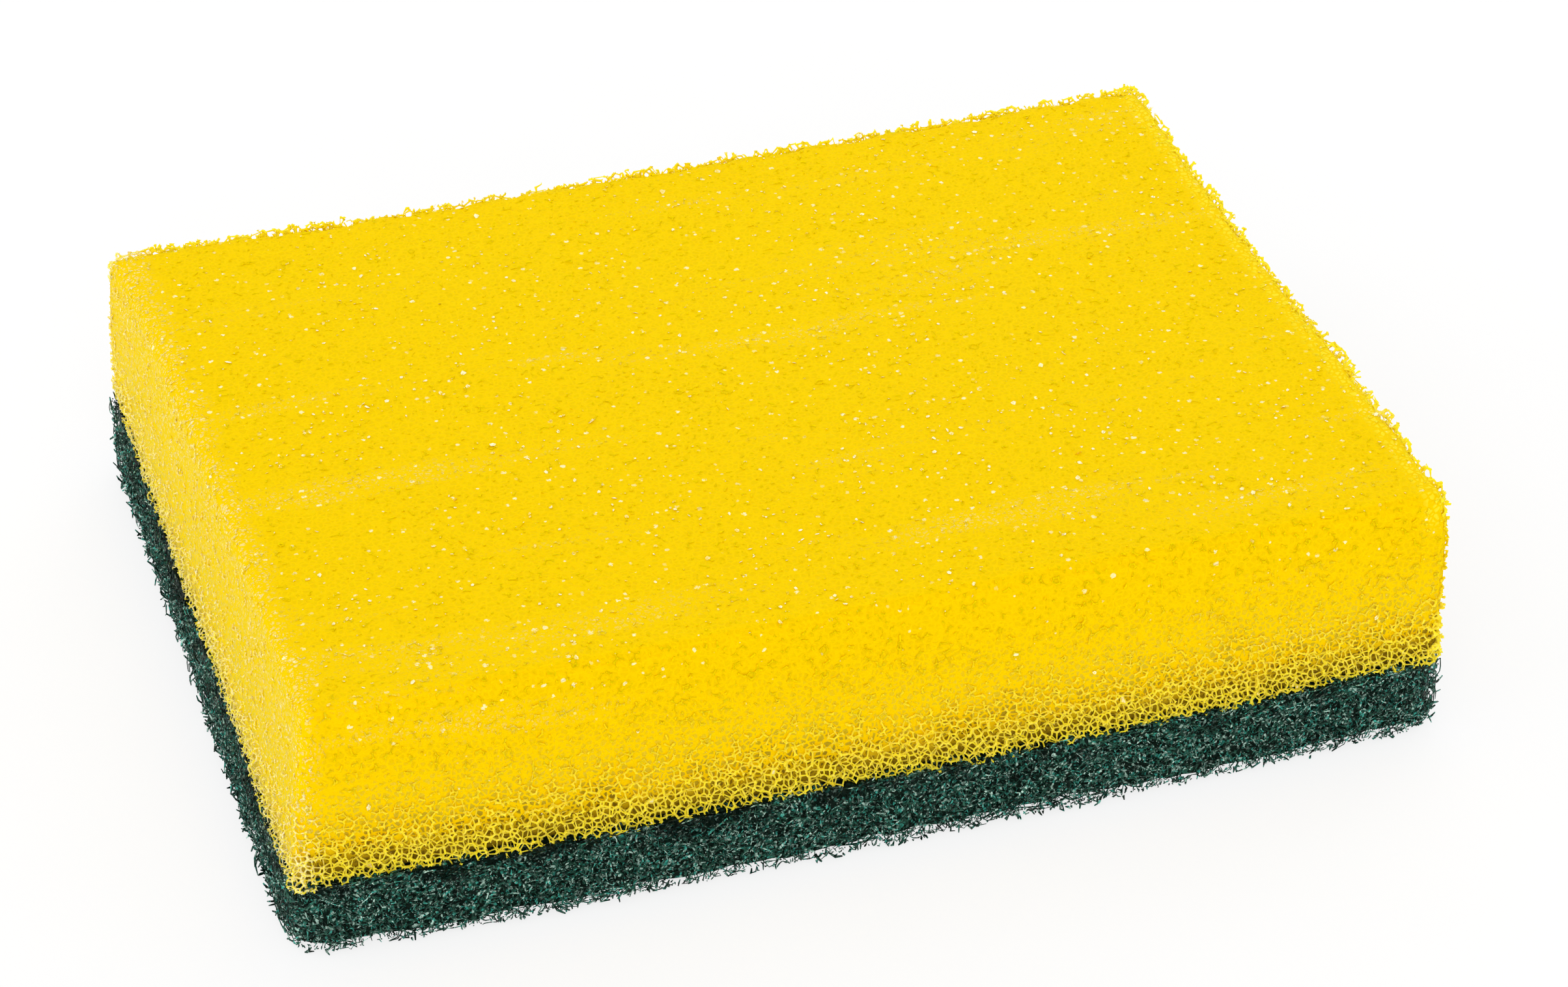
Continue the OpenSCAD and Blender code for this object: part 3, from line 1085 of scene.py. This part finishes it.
def matted_pad_material():
    """Strands with dark gaps between them, the gaps painted shade for the depth of the mat, for the pad's
    body behind the loose fibres.
    """
    material, tree, shader, tone = pad_material("pad core", patch=1.5 * MM)
    place = place_in(tree)
    strands = 0.0
    for size in (2.0 * MM, 1.4 * MM, 1.0 * MM):
        apart = maths(tree, "SUBTRACT", noise(tree, place, size, 1.0), 0.5)
        strand = ramp(tree, maths(tree, "ABSOLUTE", apart), 0.02, 0.07, 1.0, 0.0)
        strands = maths(tree, "MAXIMUM", strands, strand)
    gap = rgba(bpy.context.scene.sponge_pad.colour)
    colour = mix_colour(tree, strands, gap, tone.outputs["Color"])
    tree.links.new(colour, shader.inputs["Base Color"])
    add_bump(tree, shader, strands, strength=1.0, distance=0.3 * MM)
    shader.inputs["Specular IOR Level"].default_value = 0.08
    return material


class SPONGE_OT_pad_core(bpy.types.Operator):
    """Builds the dense body of the scouring pad behind its loose fibres"""
    bl_idname = "sponge.pad_core"
    bl_label = "Pad core"

    def execute(self, context):
        sides = sides_of("scouring_pad")
        top = sides["top"][1]
        inset = {side: 0.3 * MM for side in TOWARDS}
        inset["top"] = -PAD_RIM
        inset["under"] = 0.15 * MM
        inner = {side: (normal, far - inset[side]) for side, (normal, far) in sides.items()}
        rims = np.array([PAD_CORNER, PAD_CORNER, 0.9 * MM])
        vertices, quads, out = soft_block(inner, np.array([1.9, 1.9, 1.2]) * MM, rims)
        rough = 0.45 * value_noise(vertices, 1.9 * MM, 3) + 0.35 * value_noise(vertices, 7 * MM, 4)
        rough -= 0.35 * np.clip((vertices[:, 2] - top) / (1.5 * MM) + 1, 0, 1)
        vertices += (rough * MM)[:, None] * out
        lift = 0.6 + value_noise(vertices, 8 * MM, 12) + 0.7 * value_noise(vertices, 2.7 * MM, 13)
        lift = np.clip(lift, 0, 1.4) * np.clip(1.2 * (1 - out[:, 2] ** 2), 0, 1)
        vertices[:, 2] += 0.8 * MM * lift * np.clip(1 - vertices[:, 2] / (3 * MM), 0, 1)
        vertices[:, 2] = np.clip(vertices[:, 2], 0.1 * MM, top - 0.05 * MM)
        thing = new_mesh_object("pad_core", vertices, [quads], smooth=False)
        material = matted_pad_material()
        finish_piece(thing, material, "scouring_pad")
        return {"FINISHED"}


class SPONGE_OT_pad_fibres(bpy.types.Operator):
    """Lays curled fibres over the edges and the underside of the scouring pad"""
    bl_idname = "sponge.pad_fibres"
    bl_label = "Pad fibres"

    def execute(self, context):
        s = context.scene.sponge_pad
        material, *_ = pad_material("pad fibres")
        rng = np.random.default_rng(DRAW_SEEDS["fibres"])
        border = Border()
        low, high = (np.array(v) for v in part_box("scouring_pad"))
        for side, share in SIDE_SHARES.items():
            parts = [
                self.side_tufts(s, border, side, int(share * s.side_fibres), rng, high[2]),
                self.side_curls(s, border, side, int(share * s.long_fibres), rng, high[2])]
            first = len(parts[0][0])
            vertices = np.concatenate([vertices for vertices, _ in parts])
            faces = [*parts[0][1], *[f + first for f in parts[1][1]]]
            thing = new_mesh_object(f"pad_fibres_{side}", vertices, faces)
            lay_flat(thing, side)
            finish_piece(thing, material, "scouring_pad")
        count = s.under_fibres
        starts = rng.uniform(low[:2] + 1 * MM, high[:2] - 1 * MM, (count, 2))
        lengths = 1.8 * s.fibre_length * rng.uniform(0.6, 1.3, count)
        line = curling_lines(rng, starts, lengths, steps=8, curl=CURLS["under"])
        line = np.clip(line, low[:2] + 1.2 * MM, high[:2] - 1.2 * MM)
        phase = rng.uniform(0, WHOLE_TURN, count)[:, None] + np.linspace(0, 7, 9)[None]
        lift = 0.55 + 0.35 * np.sin(phase)
        paths = np.concatenate([line, (lift * MM)[..., None]], -1)
        radii = s.fibre * rng.uniform(0.8, 1.5, count)
        thing = new_mesh_object("pad_fibres_under", *tube_mesh(paths, radii))
        lay_flat(thing, "under")
        finish_piece(thing, material, "scouring_pad")
        return {"FINISHED"}

    def side_tufts(self, s, border, side, count, rng, top):
        """Short stiff fibres that point every way, with their ends standing out."""
        u = border.side_places(side, count, rng)
        z = rng.uniform(0.0, 1.0, count) ** 1.25 * top
        lengths = rng.gamma(5, 0.26, count).clip(0.6, 2.6) * MM
        line = curling_lines(rng, np.stack([u, z], 1), lengths, steps=2, curl=CURLS["tuft"])
        steep = 1 - 0.7 * np.clip(1.5 - z / (1 * MM), 0, 1)
        line[..., 0] = u[:, None] + (line[..., 0] - u[:, None]) * steep[:, None]
        climb = rng.normal(0.1, 0.35, count)[:, None] * np.linspace(0, 1, 3)[None] * lengths[:, None]
        root = border.points(u, z, 0 * u)
        clump = 0.5 * value_noise(root, 2.2 * MM, 51) - 0.3 * np.clip((z - top) / (1.5 * MM) + 1, 0, 1)
        out = (rng.uniform(-0.5, 0.25, count) + clump)[:, None] * MM + climb
        height = limited(line[..., 1], 0.1 * MM, top + 0.3 * MM - seam_wander(root)[:, None])
        paths = border.points(line[..., 0], height, np.minimum(out, 1.1 * MM))
        stout = 1 + 0.8 * np.clip(out.max(1) / (0.9 * MM), 0, 1)
        return tube_mesh(paths, s.fibre * rng.uniform(0.7, 1.2, count) * stout)

    def side_curls(self, s, border, side, count, rng, top):
        """Long loose curls, mostly near the upper and the lower edge."""
        u = border.side_places(side, count, rng)
        z = (1 - rng.uniform(0.0, 1.0, count) ** 1.5 * 0.75) * top
        low = rng.random(count) < 0.3
        z = np.where(low, rng.uniform(0.6, 2.1, count) * MM, z)
        lengths = s.fibre_length * rng.uniform(0.6, 1.4, count)
        curl = np.where(low, CURLS["low"], CURLS["long"])
        line = curling_lines(rng, np.stack([u, z], 1), lengths, steps=7, curl=curl, flat=0.6)
        phase = rng.uniform(0, WHOLE_TURN, count)[:, None] + np.linspace(0, 5, 8)[None]
        swing = rng.uniform(0.05, 0.45, count)[:, None] * np.sin(phase)
        out = (np.where(low, 0.0, 0.35)[:, None] + swing) * MM
        edge = top + 0.3 * MM - seam_wander(border.points(u, z, 0 * u))
        height = limited(line[..., 1], 0.12 * MM, edge[:, None])
        radii = s.fibre * rng.uniform(0.6, 0.95, count)
        return tube_mesh(border.points(line[..., 0], height, out), radii)


class SPONGE_OT_pad_grains(bpy.types.Operator):
    """Scatters grains of abrasive among the fibres of the scouring pad"""
    bl_idname = "sponge.pad_grains"
    bl_label = "Pad grains"

    def execute(self, context):
        s = context.scene.sponge_pad
        rng = np.random.default_rng(DRAW_SEEDS["grains"])
        border = Border()
        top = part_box("scouring_pad")[1].z
        u = np.concatenate([
            border.side_places(side, int(share * s.grains), rng) for side, share in SIDE_SHARES.items()])
        height = rng.uniform(0.03, 0.97, len(u)) * top
        centre = border.points(u, height, rng.uniform(-0.4, 0.45, len(u)) * MM)
        reach = rng.uniform(0.07, 0.19, (len(u), 6)) * MM
        tips = np.array([(1, 0, 0), (0, 1, 0), (-1, 0, 0), (0, -1, 0), (0, 0, 1), (0, 0, -1)], float)
        vertices = centre[:, None] + tips[None] * reach[..., None]
        faces = [(k, (k + 1) % 4, 4) for k in range(4)] + [((k + 1) % 4, k, 5) for k in range(4)]
        triangles = (np.arange(len(u))[:, None, None] * 6 + np.array(faces)).reshape(-1, 3)
        thing = new_mesh_object("pad_grains", vertices.reshape(-1, 3), [triangles])
        material, *_ = pad_material("pad grains")
        finish_piece(thing, material, "scouring_pad")
        return {"FINISHED"}


# ---------------------------------------------------------------- studio

# name, azimuth and elevation in degrees, level
LAMPS = (("key", -15, 36, 0.46), ("left", -100, 30, 0.18), ("back", 150, 28, 0.30))
LAMP_WIDTH = 60          # degrees of sky that a lamp fills
SKY = 0.625              # strength of the even light from the sky


def add_camera(s, scene):
    """The camera, which looks at the aim from the side that the settings say."""
    back = Vector((
        math.sin(s.azimuth) * math.cos(s.elevation),
        -math.cos(s.azimuth) * math.cos(s.elevation),
        math.sin(s.elevation)))
    across = (-back).cross(Vector((0, 0, 1))).normalized()
    up = across.cross(-back)
    turned_across = math.cos(s.roll) * across + math.sin(s.roll) * up
    turned_up = math.cos(s.roll) * up - math.sin(s.roll) * across
    camera = bpy.data.objects.new("camera", bpy.data.cameras.new("camera"))
    camera.data.lens = s.lens
    camera.data.sensor_width = 36.0
    place = Vector(s.aim) + back * s.distance
    facing = Matrix((turned_across, turned_up, back)).transposed().to_4x4()
    camera.matrix_world = Matrix.Translation(place) @ facing
    scene.collection.objects.link(camera)
    scene.camera = camera


def add_world(scene):
    """An even sky that the camera sees as plain white."""
    world = bpy.data.worlds.new("studio")
    scene.world = world
    world.use_nodes = True
    tree = world.node_tree
    tree.nodes.clear()
    sky, white = (
        add_node(tree, "ShaderNodeBackground", {"Color": WHITE, "Strength": strength}).outputs[0]
        for strength in (SKY, 1.0))
    add_node(tree, "ShaderNodeOutputWorld", {"Surface": plain_to_camera(tree, sky, white)})


def add_lamps(scene):
    """Wide, soft lamps."""
    for name, azimuth, elevation, level in LAMPS:
        lamp = bpy.data.objects.new(name, bpy.data.lights.new(name, "SUN"))
        lamp.data.energy = level * math.pi
        lamp.data.angle = math.radians(LAMP_WIDTH)
        lamp.rotation_euler = Euler((math.radians(90 - elevation), 0, math.radians(azimuth)))
        scene.collection.objects.link(lamp)


def add_floor(s):
    """A pale floor that the camera sees mostly as plain white, so that only a soft shadow shows."""
    bpy.ops.mesh.primitive_plane_add(size=8, location=(0, 0, -0.2 * MM))
    floor = bpy.context.object
    floor.name = "floor"
    material, tree, shader = new_material("floor", {"Roughness": 0.9, "Specular IOR Level": 0.1})
    grain = ramp(tree, noise(tree, place_in(tree), 25 * MM), 0.4, 0.6)
    tone = mix_colour(tree, grain, rgba(s.floor_colour), rgba([c * 0.99 for c in s.floor_colour]))
    tree.links.new(tone, shader.inputs["Base Color"])
    white = add_node(tree, "ShaderNodeEmission", {"Color": WHITE, "Strength": 1.0}).outputs[0]
    look = plain_to_camera(tree, shader.outputs[0], white, share=1 - s.shadow)
    output = next(n for n in tree.nodes if n.type == "OUTPUT_MATERIAL")
    tree.links.new(look, output.inputs["Surface"])
    floor.data.materials.append(material)


class SPONGE_OT_studio(bpy.types.Operator):
    """Builds the floor, the lamps, the world and the camera"""
    bl_idname = "sponge.studio"
    bl_label = "Studio"

    def execute(self, context):
        s = context.scene.sponge_studio
        add_camera(s, context.scene)
        add_world(context.scene)
        add_lamps(context.scene)
        add_floor(s)
        context.scene.view_settings.view_transform = "Standard"
        return {"FINISHED"}


class SPONGE_PT_panel(bpy.types.Panel):
    """Lists the sponge's operators"""
    bl_idname = "SPONGE_PT_panel"
    bl_label = "Cleaning sponge"
    bl_space_type = "VIEW_3D"
    bl_region_type = "UI"
    bl_category = "Sponge"

    def draw(self, context):
        for operator in OPERATORS:
            self.layout.operator(operator.bl_idname)


SETTINGS = {"sponge_foam": FoamSettings, "sponge_pad": PadSettings, "sponge_studio": StudioSettings}
OPERATORS = [
    SPONGE_OT_studio, SPONGE_OT_foam_core, SPONGE_OT_foam_struts, SPONGE_OT_foam_films,
    SPONGE_OT_pad_core, SPONGE_OT_pad_fibres, SPONGE_OT_pad_grains,
]
CLASSES = [*SETTINGS.values(), *OPERATORS, SPONGE_PT_panel]


def register():
    for each in CLASSES:
        bpy.utils.register_class(each)
    for name, kind in SETTINGS.items():
        setattr(bpy.types.Scene, name, PointerProperty(type=kind))


def unregister():
    for name in SETTINGS:
        delattr(bpy.types.Scene, name)
    for each in reversed(CLASSES):
        bpy.utils.unregister_class(each)


def main():
    register()
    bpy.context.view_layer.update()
    for operator in OPERATORS:
        group, name = operator.bl_idname.split(".")
        getattr(getattr(bpy.ops, group), name)()


if __name__ == "__main__":
    main()
